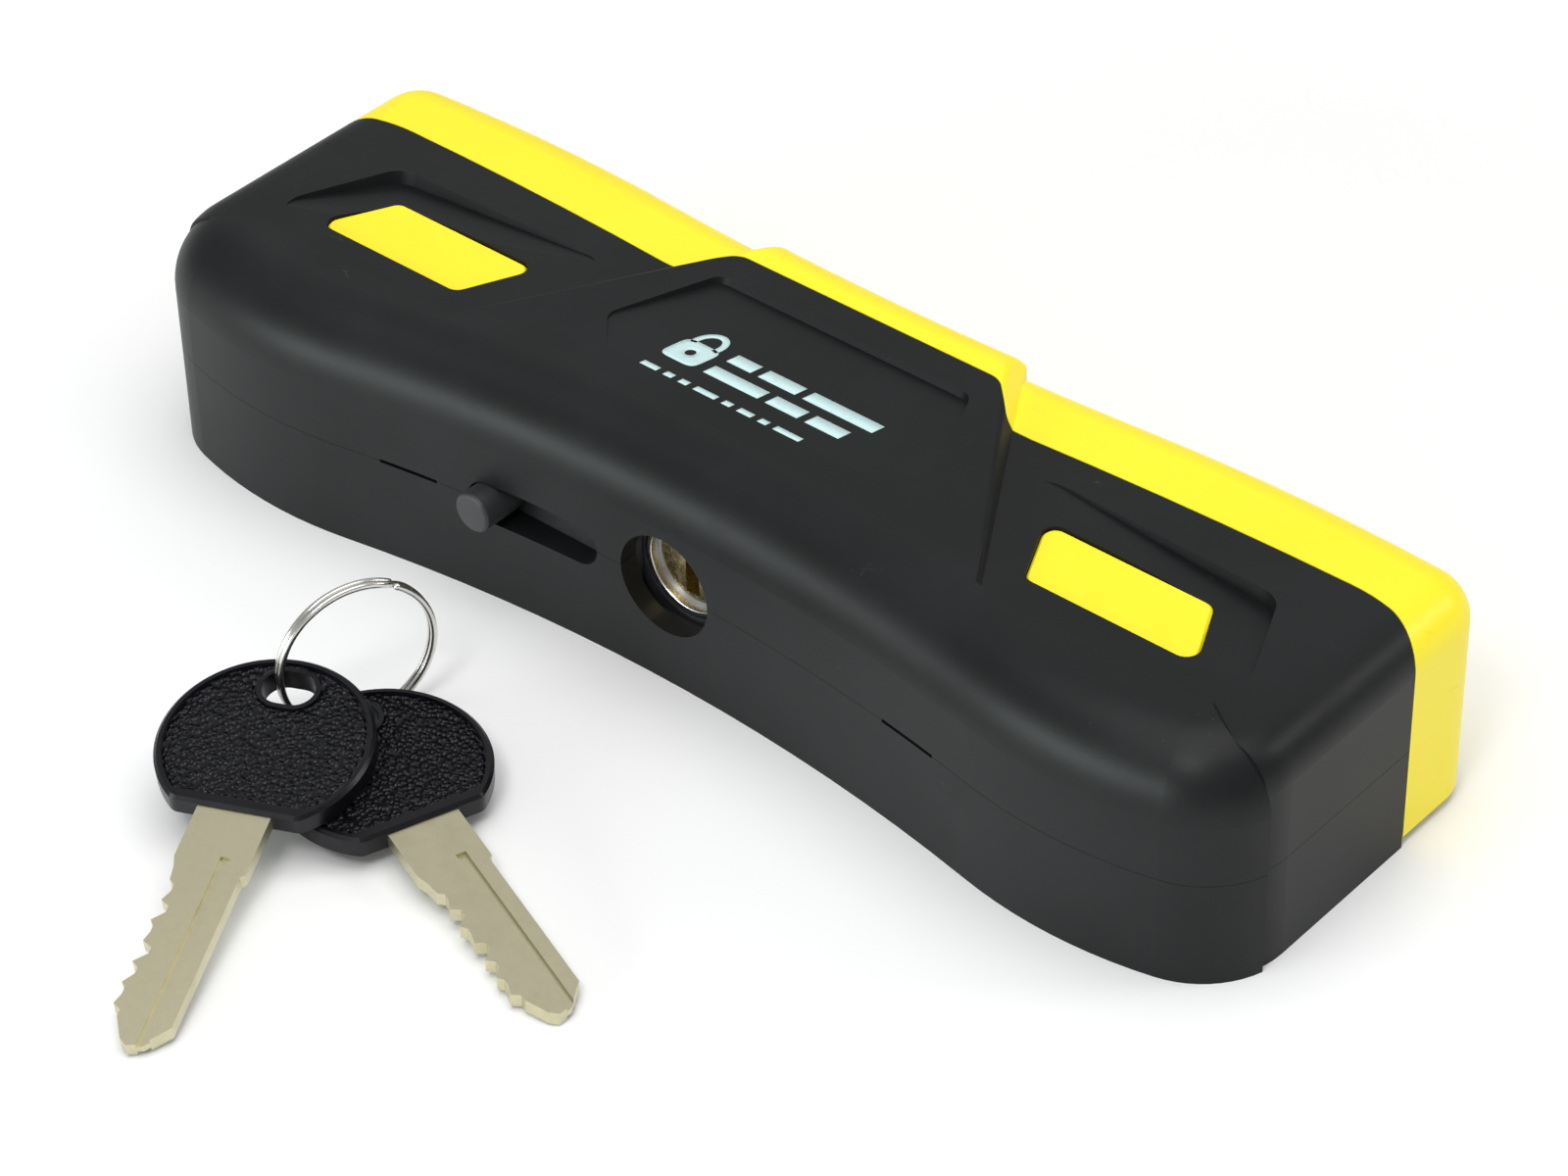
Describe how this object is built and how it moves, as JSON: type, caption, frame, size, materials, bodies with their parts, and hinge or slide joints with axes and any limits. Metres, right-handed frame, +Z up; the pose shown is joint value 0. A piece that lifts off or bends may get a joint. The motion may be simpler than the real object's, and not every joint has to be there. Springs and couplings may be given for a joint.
{
  "type": "disc brake lock",
  "caption": "Motorcycle disc brake lock: bar-shaped body over a steel channel, key-driven cross bolt, sliding keyhole shutter, and keys on a split ring.",
  "frame": {"origin": "middle of the lock's flat underside, on the surface it stands on", "axes": "+X along the lock's length, -Y towards the keyhole face, +Z up"},
  "size_m": [0.1708, 0.1341, 0.0333],
  "materials": {
    "black_shell": "fine satin moulded grain, near-black",
    "yellow_shell": "smooth satin bright yellow",
    "core_steel": "hardened steel, dark phosphate",
    "liner": "soft black liner",
    "zinc": "die-cast zinc",
    "bright_steel": "nickel plated steel",
    "brass": "turned brass",
    "shutter_plastic": "dark grey acetal",
    "screw_steel": "zinc plated steel",
    "key_plastic": "black moulded plastic with a pebble grain",
    "key_nickel": "nickel plated, lightly scratched",
    "ring_steel": "plated spring steel wire"
  },
  "bodies": {
    "housing": {"upper_shell": "black_shell", "lower_shell": "black_shell", "rear_band": "yellow_shell", "window_insert_left": "yellow_shell", "window_insert_right": "yellow_shell", "channel_core": "core_steel", "channel_liners": "liner", "cylinder_housing": "zinc", "cylinder_ring": "bright_steel", "bolt_guide": "zinc", "shutter_guide": "shutter_plastic", "detent_ball": "bright_steel", "detent_spring": "bright_steel", "shell_screws": "screw_steel", "mechanism_screws": "screw_steel", "band_screws": "screw_steel", "band_screw_caps": "yellow_shell"},
    "plug": {"cylinder_plug": "brass", "wafer_tumblers": "brass", "plug_clip": "bright_steel", "drive_pinion": "core_steel"},
    "slider": {"toothed_slider": "core_steel"},
    "bolt": {"bolt": "bright_steel", "bolt_pin": "bright_steel"},
    "shutter": {"shutter_plate": "shutter_plastic", "shutter_knob": "shutter_plastic"},
    "key_ring": {"split_ring": "ring_steel"},
    "key_1": {"key_1_bow": "key_plastic", "key_1_blade": "key_nickel"},
    "key_2": {"key_2_bow": "key_plastic", "key_2_blade": "key_nickel"}
  },
  "joints": [
    {"name": "key_turn", "type": "hinge", "parent": "housing", "child": "plug", "pos_m": [0, -0.0158, 0.0145], "axis": [0, 1, 0], "range_deg": [0, 90]},
    {"name": "slider_shift", "type": "slide", "parent": "housing", "child": "slider", "axis": [1, 0, 0], "range_m": [0, 0.011]},
    {"name": "bolt_throw", "type": "slide", "parent": "housing", "child": "bolt", "axis": [0, 1, 0], "range_m": [0, 0.00941]},
    {"name": "shutter_slide", "type": "slide", "parent": "housing", "child": "shutter", "axis": [1, 0, 0], "range_m": [0, 0.014]},
    {"name": "keys_lift", "type": "slide", "parent": "housing", "child": "key_ring", "axis": [0, 0, 1], "range_m": [0, 0.08]},
    {"name": "key_1_swing", "type": "hinge", "parent": "key_ring", "child": "key_1", "pos_m": [-0.02404, -0.05987, 0.00986], "axis": [0.0685, -0.1483, 0.9866], "range_deg": [-12, 6]},
    {"name": "key_2_swing", "type": "hinge", "parent": "key_ring", "child": "key_2", "pos_m": [-0.01871, -0.05545, 0.00489], "axis": [0.0674, -0.0237, 0.9974], "range_deg": [-6, 12]}
  ],
  "couplings": [
    {"joint": "slider_shift", "follows": "key_turn", "m_per_rad": 0.007},
    {"joint": "bolt_throw", "follows": "key_turn", "m_per_rad": 0.0059842}
  ]
}
